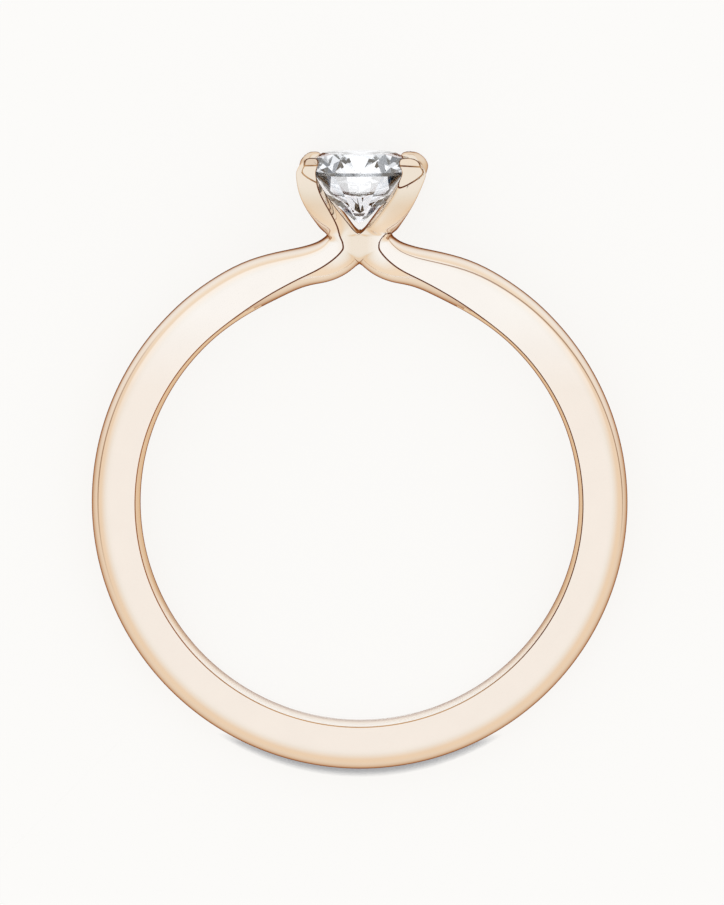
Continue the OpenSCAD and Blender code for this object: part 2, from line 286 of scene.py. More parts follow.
def pick_points(piece, test):
    """Select just the points whose place passes a test."""
    bpy.ops.mesh.select_mode(type="VERT")
    shape = bmesh.from_edit_mesh(piece.data)
    for point in shape.verts:
        point.select_set(bool(test(point.co)))
    shape.select_flush_mode()
    bmesh.update_edit_mesh(piece.data)


def pick_edges(piece, test):
    """Select just the edges that pass a test."""
    bpy.ops.mesh.select_mode(type="EDGE")
    shape = bmesh.from_edit_mesh(piece.data)
    for line in shape.edges:
        line.select_set(bool(test(line)))
    bmesh.update_edit_mesh(piece.data)


def pick_faces(piece, test):
    """Select just the faces whose middle passes a test."""
    bpy.ops.mesh.select_mode(type="FACE")
    shape = bmesh.from_edit_mesh(piece.data)
    for side in shape.faces:
        side.select_set(bool(test(side.calc_center_median())))
    bmesh.update_edit_mesh(piece.data)


def near(place):
    return lambda co: (co - place).length < CLOSE


def among(places):
    return lambda co: any((co - place).length < CLOSE for place in places)


def both_ends(test):
    return lambda line: all(test(point.co) for point in line.verts)


def move_point(piece, old, new):
    if (new - old).length > STILL:
        pick_points(piece, near(old))
        bpy.ops.transform.translate(value=new - old)


def pick_row(piece, places, closed=True):
    """Select the edges along a row of points."""
    bpy.ops.mesh.select_mode(type="EDGE")
    shape = bmesh.from_edit_mesh(piece.data)
    number = {}
    for point in shape.verts:
        for k, place in enumerate(places):
            if (point.co - place).length < CLOSE:
                number[point] = k
    steps = (1, len(places) - 1) if closed else (1,)
    for line in shape.edges:
        a, b = (number.get(point) for point in line.verts)
        line.select_set(a is not None and b is not None and abs(a - b) in steps)
    bmesh.update_edit_mesh(piece.data)


def extrude_row(piece, old, new):
    """Extrude a row of edges, and move each point of the new row to its place."""
    pick_row(piece, old)
    shift = new[0] - old[0]
    bpy.ops.mesh.extrude_edges_move(TRANSFORM_OT_translate={"value": shift})
    for before, place in zip(old[1:], new[1:]):
        move_point(piece, before + shift, place)


def stand_out(before, here, after):
    """Where a cage point stands so that the smoothed surface passes through the point here.

    Smoothing leaves a point two thirds of its place and gives it a sixth of each neighbour's.
    """
    return here - (before - 2 * here + after) / 6


def stand_rows_out(rows):
    """The cage of a run of rows. Its last row stays where it is."""
    cages = [[stand_out(*trio) for trio in zip(*rows[k - 1:k + 2])] for k in range(1, len(rows) - 1)]
    return [*cages, rows[-1]]


def half_section(outer, edge, inner, inner_z, half_width, dome_power, fullness, flat_share):
    """Points on the surface from the crown over the front side to the inner end of the finger side."""
    points = []
    for turn in DOME_TURNS:
        up = flat_share + (1 - flat_share) * math.cos(math.radians(turn)) ** dome_power
        across = math.sin(math.radians(turn)) ** dome_power
        points.append(Vector((*(edge + (outer - edge) * up), half_width * across)))
    points.append(Vector((*edge, half_width)))
    for k in range(2):
        up, across = THIN_STRIP[k]
        if inner_z > 0:
            up, across = VALLEY[k]
            across += (FULL_ROUND[k][1] - across) * fullness
        else:
            up += (FULL_ROUND[k][0] - up) * fullness
            across += (FULL_ROUND[k][1] - across) * fullness
        points.append(Vector((*(inner + (edge - inner) * up), inner_z + (half_width - inner_z) * across)))
    points.append(Vector((*inner, inner_z)))
    return points


def cage_section(points):
    """The cage's points for a section: each smooth run stands out across the section."""
    end = points[-1]
    before_crown = Vector((points[1].x, points[1].y, -points[1].z))
    after_end = Vector((points[-2].x, points[-2].y, -points[-2].z))
    if end.z > 0:
        after_end = Vector((-points[-2].x, points[-2].y, points[-2].z))
    chain = [before_crown, *points, after_end]
    cage = [stand_out(*chain[k:k + 3]) for k in range(len(points))]
    cage[EDGE] = points[EDGE].copy()
    return keep_planes(points, cage)


def keep_planes(points, cage):
    """Put back on the ring's two middle planes what the section has there."""
    for point, place in zip(points, cage):
        if point.z == 0:
            place.z = 0
        if point.x == 0:
            place.x = 0
    return cage


def shoulder_half(row, sizes):
    return half_section(
        Vector((row.outer_x, row.outer_rise + HOLE_R)), Vector((row.edge_x, row.edge_rise + HOLE_R)),
        Vector((row.inner_x, row.inner_rise + HOLE_R)), row.inner_z, sizes.half_width / MM + row.wider,
        row.dome_power, row.fullness, sizes.flat_share)


def shank_half(angle, sizes, leaving=0.0):
    """A section of the shank at an angle from the head, opened a little where it leaves the round."""
    sinks, edge_out, finger_side_out, rounds = (
        amount * leaving ** power
        for amount, power in (CROWN_SINKS, EDGE_MOVES_OUT, FINGER_SIDE_MOVES_OUT, SECTION_ROUNDS))
    out = Vector((math.sin(angle), math.cos(angle)))
    return half_section(
        out * (HOLE_R + sizes.shank_thickness / MM - sinks),
        out * (HOLE_R + sizes.edge_setback / MM + edge_out), out * (HOLE_R + finger_side_out), 0.0,
        sizes.half_width / MM, 1.0, rounds, sizes.flat_share)


def shoulder_sections(sizes):
    """Sections from where the shoulder leaves the round shank up to the bottom of the open V."""
    sections = [shank_half(sizes.shoulder_angle, sizes)]
    for angle in LEAVE_ANGLES:
        leaving = (sizes.shoulder_angle - angle) / (sizes.shoulder_angle - LEAVE_ANGLES[-1])
        sections.append(shank_half(angle, sizes, leaving))
    sections += [shoulder_half(row, sizes) for row in SHOULDER_ROWS]
    for k, place in enumerate(V_ROOT):
        sections[-1][EDGE + 1 + k] = place + Vector((0, HOLE_R, 0))
    return sections


def claw_loop(row):
    """Points around the front claw on the right, in a half section's order and then back along the slit."""
    y = row.rise + HOLE_R
    slit_x = row.edge_z + (1 - row.split) * SLIT_ROOT_STAND
    slit_z = row.edge_x * row.split
    slit_turn = SLIT_ROOT_TURN + (1 - SLIT_ROOT_TURN) * row.split
    root2 = math.sqrt(2)
    edge = Vector((row.edge_x + row.edge_z, row.edge_z - row.edge_x)) / root2
    slit = Vector((slit_x + slit_z, slit_z - slit_x)) / root2

    def place(along, across):
        return Vector(((along - across) / root2, y, (along + across) / root2))

    def outer(corner, turn):
        a = math.radians(turn)
        point = place(corner.x + (row.outer_radius - corner.x) * math.sin(a), corner.y * math.cos(a))
        point.z = min(point.z, row.edge_z + (point.z - row.edge_z) * FRONT_BULGE)
        return point

    def inner(corner, share):
        return place(row.inner_radius + (corner.x - row.inner_radius) * share ** 2, corner.y * share)

    step = Vector((
        max(row.edge_x - RIB_STEP, (row.edge_x + row.rib_x) / 2), y,
        row.rib_z + (row.edge_z - row.rib_z) * RIB_STEP_RISE))
    rib = Vector((row.rib_x, y, row.rib_z))
    front, early, late, corner = CLAW_TURNS
    return [
        outer(slit, late * slit_turn), outer(slit, corner * slit_turn), outer(edge, late),
        outer(edge, early), outer(edge, front), step, rib, inner(edge, 0), inner(slit, INNER_SHARE),
        inner(slit, 1), outer(slit, early * slit_turn)]


# The place in a claw's loop of its edge towards the slit
SLIT_EDGE = 9


def spin_step(sizes):
    return (math.pi - sizes.shoulder_angle) / SPIN_STEPS


def spin_swell(sizes):
    """How much larger the spun cage is than the smooth round that it gives, by the same thirds and sixths."""
    return 3 / (2 + math.cos(spin_step(sizes)))


def spin_shank(metal, sizes):
    """Shape the half section at the ring's bottom and spin it round to the shoulder."""
    swell = spin_swell(sizes)
    bottom = cage_section(shank_half(math.pi, sizes))
    edit(metal)
    pick_points(metal, lambda co: co.x > CLOSE)
    bpy.ops.mesh.delete(type="VERT")
    section = []
    for k, place in enumerate(bottom):
        a = math.pi * k / (len(bottom) - 1)
        section.append(Vector((0, place.y * swell, place.z)))
        move_point(metal, Vector((-math.sin(a), math.cos(a), 0)), section[-1])
    bpy.ops.mesh.select_mode(type="VERT")
    bpy.ops.mesh.select_all(action="SELECT")
    turn = math.pi - sizes.shoulder_angle
    bpy.ops.mesh.spin(steps=SPIN_STEPS, angle=turn, center=(0, 0, 0), axis=(0, 0, -1))
    turned = Matrix.Rotation(turn, 3, "Z")
    return [turned @ place for place in section]


def raise_shoulder(metal, sizes, start):
    """Extrude the section row by row up to the place where the two shoulders meet."""
    sections = shoulder_sections(sizes)
    before = shank_half(sizes.shoulder_angle + spin_step(sizes), sizes)
    cages = [cage_section(points) for points in [before, *sections]]
    rows = [keep_planes(points, row) for points, row in zip(sections, stand_rows_out(cages))]
    for old, new in zip(start, rows[0]):
        move_point(metal, old, new)
    for old, new in zip(rows, rows[1:]):
        extrude_row(metal, old, new)
    # The bottom of the open V: the rib's edge carried across to the plane between the shoulders
    pick_points(metal, among([rows[-2][-1], rows[-1][RIB]]))
    bpy.ops.mesh.vert_connect()
    return rows


def open_slit(metal, last_row):
    """Draw the line across the top of the shoulder, from the notch to the crown."""
    crown, notch = last_row[0], last_row[-1]
    pick_points(metal, among([crown, notch]))
    bpy.ops.mesh.edge_face_add()
    bpy.ops.mesh.subdivide(number_cuts=len(SLIT_SHARES))
    even = [notch.lerp(crown, (k + 1) / (len(SLIT_SHARES) + 1)) for k in range(len(SLIT_SHARES))]
    slit = [notch.lerp(crown, share) for share in SLIT_SHARES]
    for old, new in reversed(list(zip(even, slit))):
        move_point(metal, old, new)
    return slit


def raise_claw(metal, root):
    """Extrude the closed loop row by row up the claw, and close its tip."""
    loops = [root] + [claw_loop(row) for row in CLAW_ROWS]
    cages = [root, *stand_rows_out(loops)]
    for old, new in zip(cages, cages[1:]):
        extrude_row(metal, old, new)
    pick_row(metal, cages[-1])
    bpy.ops.mesh.edge_face_add()
    return cages


def mark_crisp(crease=1.0):
    bpy.ops.transform.edge_crease(value=crease)
    bpy.ops.mesh.mark_sharp()


def mark_edges(metal, sizes, rows, claw):
    """Keep crisp the finger side's edge, the claw's rib, and more softly the claw's edge to the slit."""
    ring_r = (HOLE_R + sizes.edge_setback / MM) * spin_swell(sizes)
    half_width = sizes.half_width / MM
    up_the_head = among([row[EDGE] for row in rows] + [loop[EDGE] for loop in claw])

    def on_edge(co):
        on_shank = abs(math.hypot(co.x, co.y) - ring_r) < CLOSE and abs(co.z - half_width) < CLOSE
        return on_shank or up_the_head(co)

    pick_edges(metal, both_ends(on_edge))
    mark_crisp()
    pick_row(metal, [rows[-2][-1]] + [loop[RIB] for loop in claw[:CRISP_RIB_ROWS]])
    mark_crisp()
    pick_edges(metal, both_ends(among([loop[SLIT_EDGE] for loop in claw[1:]])))
    bpy.ops.transform.edge_crease(value=SLIT_CREASE)


def crease_right_shoulder(metal, rows, claw):
    """Give the front of the right shoulder its own curved crease."""
    edit(metal)
    root = rows[-1]
    pick_row(metal, [root[EDGE], *(loop[EDGE] for loop in claw[1:])], closed=False)
    bpy.ops.transform.edge_crease(value=-1)
    bpy.ops.mesh.mark_sharp(clear=True)
    pick_row(metal, list(reversed(root[1:EDGE + 1])), closed=False)
    mark_crisp()
    for row, (out, up) in zip(rows[-len(CREASE_EDGE_SHIFTS):], CREASE_EDGE_SHIFTS):
        move_point(metal, row[EDGE], row[EDGE] + Vector((out, up, 0)))
    for k, (out, up) in enumerate(CREASE_DOME_SHIFTS):
        place = root[EDGE - 1 - k]
        move_point(metal, place, place + Vector((out, up, 0)))
    for loop, edge_out, step_out in zip(claw[1:], CLAW_EDGE_SHIFTS, CLAW_STEP_SHIFTS):
        move_point(metal, loop[EDGE], loop[EDGE] + Vector((edge_out, 0, 0)))
        move_point(metal, loop[EDGE + 1], loop[EDGE + 1] + Vector((step_out, 0, 0)))


def apply_modifier(piece, name, kind, **settings):
    deselect_all()
    piece.select_set(True)
    bpy.context.view_layer.objects.active = piece
    modifier = piece.modifiers.new(name, kind)
    for setting, value in settings.items():
        setattr(modifier, setting, value)
    bpy.ops.object.modifier_apply(modifier=modifier.name)


def merge_and_face_out(piece):
    edit(piece)
    bpy.ops.mesh.select_all(action="SELECT")
    bpy.ops.mesh.remove_doubles(threshold=WELD)
    bpy.ops.mesh.normals_make_consistent(inside=False)


def set_claws(metal):
    """Bend the left claws in and the right claws out, to where they were set."""
    edit(metal)
    out, low, high = WIDEST_CLAW
    for side in (-1, 1):
        pick_points(metal, lambda co: co.x * side > out and low < co.y - HOLE_R < high)
        shift = Vector((SET_LEFT if side < 0 else SET_RIGHT, 0, 0))
        bpy.ops.transform.translate(
            value=shift, use_proportional_edit=True, use_proportional_connected=True,
            proportional_edit_falloff="SMOOTH", proportional_size=SET_REACH)


def file_tips(metal):
    """Cut the flat faces filed on the four tips."""
    edit(metal)
    for place, looks in TIP_CUTS + BACK_TIP_CUTS:
        pick_faces(metal, lambda middle: (
            middle.z * place.z > CUT_DEPTH and middle.x * place.x > 0 and middle.y > HOLE_R + CUT_FLOOR))
        bpy.ops.mesh.bisect(
            plane_co=place + Vector((0, HOLE_R, 0)), plane_no=looks, use_fill=True, clear_outer=True)
        bpy.ops.mesh.mark_sharp()


# The second slot is the crisp edges' painted dark, a painted shade
METAL_SLOTS = ("polished_rose_gold", "crisp_gold_edge", "finger_side_gold")


def finish_finger_side(metal, sizes):
    """Give the faces inside the edges, up to near the head, the finish of the finger side."""
    edge_r = HOLE_R + sizes.edge_setback / MM
    top = HOLE_R * FINGER_SIDE_TOP
    edit(metal)
    pick_faces(metal, lambda middle: math.hypot(middle.x, middle.y) < edge_r and middle.y < top)
    metal.active_material_index = METAL_SLOTS.index("finger_side_gold")
    bpy.ops.object.material_slot_assign()


def round_edges(metal, sizes):
    """Give every crisp edge its fine polished rounding."""
    pick_edges(metal, lambda line: not line.smooth)
    # The rounding takes the material of the edges' painted dark, a painted shade
    bpy.ops.mesh.bevel(
        offset=sizes.edge_round / MM, segments=2, affect="EDGES",
        material=METAL_SLOTS.index("crisp_gold_edge"))
    merge_and_face_out(metal)


def lay_down(piece):
    """Turn a finished upright piece down onto its side, in metres."""
    deselect_all()
    piece.select_set(True)
    bpy.context.view_layer.objects.active = piece
    piece.rotation_euler = (REST_TILT, 0, 0)
    piece.scale = (MM, MM, MM)
    bpy.ops.object.transform_apply(location=True, rotation=True, scale=True)


class Maths:
    """A shader socket with Python's arithmetic."""

    def __init__(self, tree, socket):
        self.tree = tree
        self.socket = socket

    def _with(self, operation, *values):
        node = self.tree.nodes.new("ShaderNodeMath")
        node.operation = operation
        for slot, value in zip(node.inputs, values):
            if isinstance(value, Maths):
                self.tree.links.new(value.socket, slot)
            else:
                slot.default_value = value
        return Maths(self.tree, node.outputs[0])

    def __add__(self, other):
        return self._with("ADD", self, other)

    __radd__ = __add__

    def __mul__(self, other):
        return self._with("MULTIPLY", self, other)

    __rmul__ = __mul__

    def __sub__(self, other):
        return self._with("SUBTRACT", self, other)

    def __rsub__(self, other):
        return self._with("SUBTRACT", other, self)

    def __truediv__(self, other):
        return self._with("DIVIDE", self, other)

    def __abs__(self):
        return self._with("ABSOLUTE", self)

    def clamp(self):
        return self._with("MINIMUM", self._with("MAXIMUM", self, 0), 1)


class Nodes:
    """Makes nodes in one tree, with their settings set before their values and links."""

    def __init__(self, tree):
        self.tree = tree
        tree.nodes.clear()

    def add(self, kind, settings=None, sockets=None):
        node = self.tree.nodes.new(kind)
        for name, value in (settings or {}).items():
            if name == "stops":
                ramp = node.color_ramp.elements
                while len(ramp) < len(value):
                    ramp.new(0.5)
                for element, (place, colour) in zip(ramp, value):
                    element.position = place
                    element.color = (*colour, 1)
            else:
                setattr(node, name, value)
        for name, value in (sockets or {}).items():
            slot = node.inputs[name]
            if isinstance(value, Maths):
                self.tree.links.new(value.socket, slot)
            elif isinstance(value, bpy.types.NodeSocket):
                self.tree.links.new(value, slot)
            elif slot.type == "RGBA":
                slot.default_value = (*value[:3], 1)
            else:
                slot.default_value = value
        return node

    def place(self):
        """The place on the piece, in metres."""
        return self.add("ShaderNodeTexCoord").outputs["Object"]

    def part(self, place, axis):
        node = self.add("ShaderNodeSeparateXYZ", sockets={0: place})
        return Maths(self.tree, node.outputs[axis])

    def clouds(self, place, scale, detail=2.0):
        """Soft noise around 0, from about -0.5 to 0.5."""
        node = self.add(
            "ShaderNodeTexNoise", sockets={"Vector": place, "Scale": scale, "Detail": detail})
        return Maths(self.tree, node.outputs["Fac"]) - 0.5

    def blend(self, factor, first, second):
        node = self.add(
            "ShaderNodeMix", {"data_type": "RGBA"}, {"Factor": factor, "A": first, "B": second})
        return node.outputs["Result"]

    def shade(self, colour, amount):
        """A colour made lighter or darker by a factor around 1."""
        node = self.add(
            "ShaderNodeVectorMath", {"operation": "SCALE"}, {0: colour, "Scale": amount})
        return node.outputs["Vector"]

    def brushed(self, place, scale, slope):
        """A normal with the faint unevenness that polishing leaves."""
        grain = self.clouds(place, scale)
        node = self.add(
            "ShaderNodeBump", sockets={"Strength": 1.0, "Distance": slope / scale, "Height": grain})
        return node.outputs["Normal"]

    def lean(self, directions, axis):
        """How far a direction leans towards an axis: 1 along it and -1 against it."""
        node = self.add("ShaderNodeVectorMath", {"operation": "DOT_PRODUCT"}, {0: directions, 1: axis})
        return Maths(self.tree, node.outputs["Value"])

    def ramp(self, lean, stops):
        places = [(0.5 + 0.5 * place, colour) for place, colour in stops]
        node = self.add("ShaderNodeValToRGB", {"stops": places}, {"Fac": 0.5 + 0.5 * lean})
        return node.outputs["Color"]


def fade(value, start, length):
    """0 up to the start and 1 from a length beyond it. A negative length fades the other way."""
    return ((value - start) / length).clamp()


def new_material(name):
    material = bpy.data.materials.new(name)
    material.use_nodes = True
    return material, Nodes(material.node_tree)


# Where the metal is painted lighter towards the head, a painted highlight, and turns to the claws' darker
# tan, a painted shade, along the ring from its middle, and over what length, in metres. A negative length
# runs towards the ring's bottom.
HEAD_START = 4.5 * MM
HEAD_FADE = 3.0 * MM
CLAW_START = 10.9 * MM
CLAW_FADE = 0.8 * MM
# The valley between the shoulders is painted the claws' darker tan, a painted shade
VALLEY_START = 9.2 * MM
VALLEY_HALF = 0.9 * MM
VALLEY_FADE = 0.6 * MM
# Towards the ring's bottom the finger side mirrors less and is painted near white, painted light in place of
# the shade inside the ring
BOTTOM_START = -3.5 * MM
BOTTOM_FADE = -4.0 * MM
# Polishing marks: clouds of tone, clouds of gloss and a fine grain, as noise scales per metre
TONE_SCALE = 900
GLOSS_SCALE = 2200
GRAIN_SCALE = 6000
TONE_CHANGE = 0.04
GLOSS_CHANGE = 0.04
GRAIN_SLOPE = 0.0012
POLISH = 0.06
FINGER_SIDE_POLISH = 0.10
FINGER_SIDE_BOTTOM_MIRROR = 0.15


def gold_finish(name, colours, rim, polish=POLISH, bottom_mirror=1.0):
    """Polished rose gold with soft clouds of tone and gloss and a faint polishing grain, painted lighter
    towards the head as a painted highlight, a darker tan on the claws and in the valley as painted shade, and
    near white at the finger side's bottom as painted light.
    """
    material, nodes = new_material(name)
    place = nodes.place()
    along = nodes.part(place, "Y")
    painted_light_to_head = fade(along, HEAD_START, HEAD_FADE)
    painted_shade_in_valley = fade(abs(nodes.part(place, "X")), VALLEY_HALF, -VALLEY_FADE)
    painted_shade_on_claws = (
        fade(along, CLAW_START, CLAW_FADE) + painted_shade_in_valley * fade(along, VALLEY_START, VALLEY_FADE)).clamp()
    mirror = 1 - (1 - bottom_mirror) * fade(along, BOTTOM_START, BOTTOM_FADE)
    # Painted highlight: the metal painted lighter towards the head
    colour = nodes.blend(painted_light_to_head, colours.gold, colours.gold_painted_light_head)
    # Painted shade: a darker tan on the claws and in the valley
    colour = nodes.blend(painted_shade_on_claws, colour, colours.gold_painted_shade_claws)
    # Painted light: near white at the finger side's bottom, where it mirrors less
    colour = nodes.blend(1 - mirror, colour, colours.gold_painted_light_bottom)
    colour = nodes.shade(colour, 1 + TONE_CHANGE * nodes.clouds(place, TONE_SCALE))
    skin = nodes.add("ShaderNodeBsdfPrincipled", sockets={
        "Base Color": colour, "Metallic": mirror,
        "Roughness": polish + GLOSS_CHANGE * nodes.clouds(place, GLOSS_SCALE),
        "Specular Tint": rim, "Normal": nodes.brushed(place, GRAIN_SCALE, GRAIN_SLOPE)})
    nodes.add("ShaderNodeOutputMaterial", sockets={"Surface": skin.outputs["BSDF"]})
    return material


EDGE_POLISH = 0.2
EDGE_GLOSS_CHANGE = 0.15
EDGE_PATCH_SCALE = 1400
EDGE_PATCH_CHANGE = 0.5
# The painted dark of the edges is painted lightest towards the ring's bottom, and less light on its left
# side, from these places on, in metres
EDGE_LIGHT_BOTTOM_START = -5.5 * MM
EDGE_LIGHT_BOTTOM_FADE = -3.0 * MM
EDGE_LIGHT_LEFT_START = -1.5 * MM
EDGE_LIGHT_LEFT_FADE = -7.0 * MM
# On the tips the painted dark of the filed edges is painted lighter in patches
TIP_LIGHT_START = 12.5 * MM
TIP_LIGHT_FADE = 0.3 * MM
TIP_LIGHT_SHARE = 0.4
TIP_LIGHT_CHANGE = 4.0


def edge_finish(name, colours):
    """The rounding of the crisp edges, painted dark as painted shade along them, and painted lighter towards
    the ring's bottom, on its left side and in patches on the tips.
    """
    material, nodes = new_material(name)
    place = nodes.place()
    along = nodes.part(place, "Y")
    bottom = fade(along, EDGE_LIGHT_BOTTOM_START, EDGE_LIGHT_BOTTOM_FADE)
    side = fade(nodes.part(place, "X"), EDGE_LIGHT_LEFT_START, EDGE_LIGHT_LEFT_FADE)
    patch_noise = nodes.clouds(place, EDGE_PATCH_SCALE)
    patches = EDGE_PATCH_CHANGE * patch_noise
    on_tips = fade(along, TIP_LIGHT_START, TIP_LIGHT_FADE)
    painted_lighter = bottom * (1 + patches) + on_tips * (TIP_LIGHT_SHARE + TIP_LIGHT_CHANGE * patch_noise)
    # Painted shade: dark edges, painted lighter on the left side
    colour = nodes.blend((side + patches).clamp(), colours.edge_painted_dark, colours.edge_painted_left)
    # The edges' painted dark is painted lighter still towards the bottom and in patches on the tips
    colour = nodes.blend(painted_lighter.clamp(), colour, colours.edge_painted_light)
    skin = nodes.add("ShaderNodeBsdfPrincipled", sockets={
        "Base Color": colour, "Metallic": 1.0,
        "Roughness": EDGE_POLISH + EDGE_GLOSS_CHANGE * nodes.clouds(place, GLOSS_SCALE)})
    nodes.add("ShaderNodeOutputMaterial", sockets={"Surface": skin.outputs["BSDF"]})
    return material


STONE_IOR = 2.42
HAZE_SCALE = 500
HAZE_CHANGE = 0.6
GIRDLE_FROST = 0.25
GIRDLE_FADE = 0.02 * MM
# Dark dashes painted along the girdle
DASH_SCALE = 1300
DASH_CONTRAST = 12


def stone_finish(name, colours):
    """A clear polished stone with a trace of haze and a fine-ground girdle."""
    material, nodes = new_material(name)
    place = nodes.place()
    rise = (
        math.cos(REST_TILT) * nodes.part(place, "Y") + math.sin(REST_TILT) * nodes.part(place, "Z")
        - HOLE_R * MM)
    middle = sum(GIRDLE) / 2 * MM
    half = (GIRDLE[1] - GIRDLE[0]) / 2 * MM
    on_girdle = fade(abs(rise - middle), half + GIRDLE_FADE, -GIRDLE_FADE)
    haze = (0.5 + HAZE_CHANGE * nodes.clouds(place, HAZE_SCALE)).clamp()
    dashes = on_girdle * (0.5 + DASH_CONTRAST * nodes.clouds(place, DASH_SCALE)).clamp()
    colour = nodes.blend(haze, colours.stone, colours.stone_haze)
    # Dark dashes painted along the girdle
    colour = nodes.blend(dashes, colour, colours.girdle_dark)
    skin = nodes.add("ShaderNodeBsdfPrincipled", sockets={
        "Base Color": colour,
        "Roughness": GIRDLE_FROST * on_girdle, "IOR": STONE_IOR, "Transmission Weight": 1.0})
    nodes.add("ShaderNodeOutputMaterial", sockets={"Surface": skin.outputs["BSDF"]})
    return material


# The camera leans towards the head and a little to the right of the finger axis. Its lens gives the scale of
# one pixel at the ring's middle, in a frame so many pixels high, and it aims a little off that middle.
CAMERA_LEAN = math.radians(5.4)
CAMERA_SIDE = math.radians(1.4)
CAMERA_DISTANCE = 0.5
CLIP_NEAR = 0.01
CLIP_FAR = 20
FRAME_HEIGHT = 905
PIXEL = 0.03948 * MM
AIM_RIGHT = 0.099 * MM
AIM_UP = 1.970 * MM
SENSOR = 36.0


def camera_axes():
    """The camera's right, up and back, in the frame of the ring at rest."""
    rest = Matrix.Rotation(REST_TILT, 3, "X")
    back = Vector((
        math.sin(CAMERA_SIDE) * math.cos(CAMERA_LEAN), math.sin(CAMERA_LEAN),
        math.cos(CAMERA_SIDE) * math.cos(CAMERA_LEAN)))
    right = Vector((math.cos(CAMERA_SIDE), 0, -math.sin(CAMERA_SIDE)))
    up = back.cross(right)
    return rest @ right, rest @ up, rest @ back


def build_camera():
    right, up, back = camera_axes()
    data = bpy.data.cameras.new("studio_camera")
    data.sensor_width = SENSOR
    data.lens = SENSOR * CAMERA_DISTANCE / (FRAME_HEIGHT * PIXEL)
    data.clip_start = CLIP_NEAR
    data.clip_end = CLIP_FAR
    camera = bpy.data.objects.new("studio_camera", data)
    bpy.context.scene.collection.objects.link(camera)
    place = right * AIM_RIGHT + up * AIM_UP + back * CAMERA_DISTANCE
    camera.matrix_world = Matrix.Translation(place) @ Matrix((right, up, back)).transposed().to_4x4()
    bpy.context.scene.camera = camera


# The floor's contact shadow: how far it reaches, how deep it is, and where it comes in beyond the ring's far
# side
SHADOW_REACH = 0.7 * MM
SHADOW_DEPTH = 4.0
SHADOW_SAMPLES = 4
SHADOW_START = -9.2 * MM
SHADOW_FADE = -0.4 * MM
# The floor is lit from within for the most part, so that it stays pale and even
FLOOR_SIZE = 4.0
FLOOR_GREY = (0.16, 0.16, 0.16)
FLOOR_GLOW = 0.85


def build_floor(colours):
    deselect_all()
    bpy.ops.mesh.primitive_plane_add(size=FLOOR_SIZE, location=(0, 0, FLOOR_Z))
    floor = bpy.context.object
    floor.name = "floor"
    material, nodes = new_material("pale_floor")
    place = nodes.place()
    node = nodes.add("ShaderNodeAmbientOcclusion", {"samples": SHADOW_SAMPLES}, {"Distance": SHADOW_REACH})
    under = (SHADOW_DEPTH * (1 - Maths(nodes.tree, node.outputs["AO"]))).clamp()
    shadow = under * fade(nodes.part(place, "Y"), SHADOW_START, SHADOW_FADE)
    skin = nodes.add("ShaderNodeBsdfPrincipled", sockets={
        "Base Color": FLOOR_GREY, "Roughness": 1.0, "Specular IOR Level": 0.0,
        "Emission Color": nodes.blend(shadow, colours.floor, colours.floor_shadow),
        "Emission Strength": FLOOR_GLOW})
    nodes.add("ShaderNodeOutputMaterial", sockets={"Surface": skin.outputs["BSDF"]})
    floor.data.materials.append(material)
    # The metal mirrors and the stone shows the studio's light instead of the floor
    floor.visible_glossy = False
    floor.visible_transmission = False


# Light of the studio by how far a direction leans from the camera's side (1) to behind the ring (-1): past
# the sides of the ring, and past the head, which takes over where a direction leans towards it
SIDE_STOPS = [
    (-1.00, (0.20, 0.06, 0.014)), (-0.975, (0.34, 0.12, 0.035)), (-0.94, (0.82, 0.62, 0.42)),
    (-0.72, (0.87, 0.73, 0.58)), (-0.30, (0.90, 0.80, 0.67)), (0.10, (0.93, 0.79, 0.63)),
    (0.26, (0.92, 0.80, 0.66)), (0.60, (0.96, 0.97, 0.96)), (0.72, (1.00, 1.03, 1.05)),
    (0.84, (1.02, 1.05, 1.08))]
HEAD_STOPS = [
    (-1.00, (0.16, 0.050, 0.015)), (-0.92, (0.30, 0.12, 0.045)), (-0.84, (0.82, 0.64, 0.46)),
    (-0.70, (1.02, 1.02, 1.00)), (-0.30, (0.98, 0.96, 0.92)), (0.10, (0.93, 0.80, 0.65)),
    (0.22, (0.92, 0.80, 0.66)), (0.34, (1.04, 1.00, 0.95)), (0.72, (1.00, 1.03, 1.05)),
    (0.84, (1.02, 1.05, 1.08))]
HEAD_LIGHT_START = 0.05
HEAD_LIGHT_FADE = 0.303
# What the stone's table mirrors, just past the ring's top: how far towards the head, how far around that, and
# how far behind
TABLE_LIGHT = (0.93, 0.92, 0.91)
TABLE_LEAN = 0.187
TABLE_REACH = 0.07
TABLE_BEHIND = -0.96
# The stone's light is white, with dark cards to its left and right and the dark of the camera
STONE_STOPS = [
    (-1.00, (1.10, 1.13, 1.18)), (-0.86, (1.07, 1.10, 1.15)), (-0.76, (0.04, 0.06, 0.09)),
    (-0.62, (0.04, 0.06, 0.09)), (-0.52, (1.12, 1.15, 1.20)), (0.44, (1.14, 1.17, 1.22)),
    (0.52, (0.07, 0.09, 0.13)), (0.64, (0.07, 0.09, 0.13)), (0.74, (1.07, 1.10, 1.15)),
    (1.00, (1.03, 1.06, 1.11))]
CAMERA_REACH = 0.965
SOFT_EDGE = 1 / 60
# The dark frames of two light boxes. The right one is a ring around a direction, given as shares of right, up
# and back, and the left one stands level. Each is so wide, and comes in from a place on, across and along.
RIGHT_BOX = (0.459, -0.283, 0.842)
RIGHT_BOX_LEAN = 0.286
RIGHT_BOX_WIDTH = 0.09
RIGHT_BOX_ACROSS = (0.05, 1 / 6)
RIGHT_BOX_ALONG = (-0.25, 0.25)
LEFT_BOX_LEAN = -0.07
LEFT_BOX_WIDTH = 0.10
LEFT_BOX_ACROSS = (-0.78, -0.2)
LEFT_BOX_ALONG = (-0.5, 0.5)


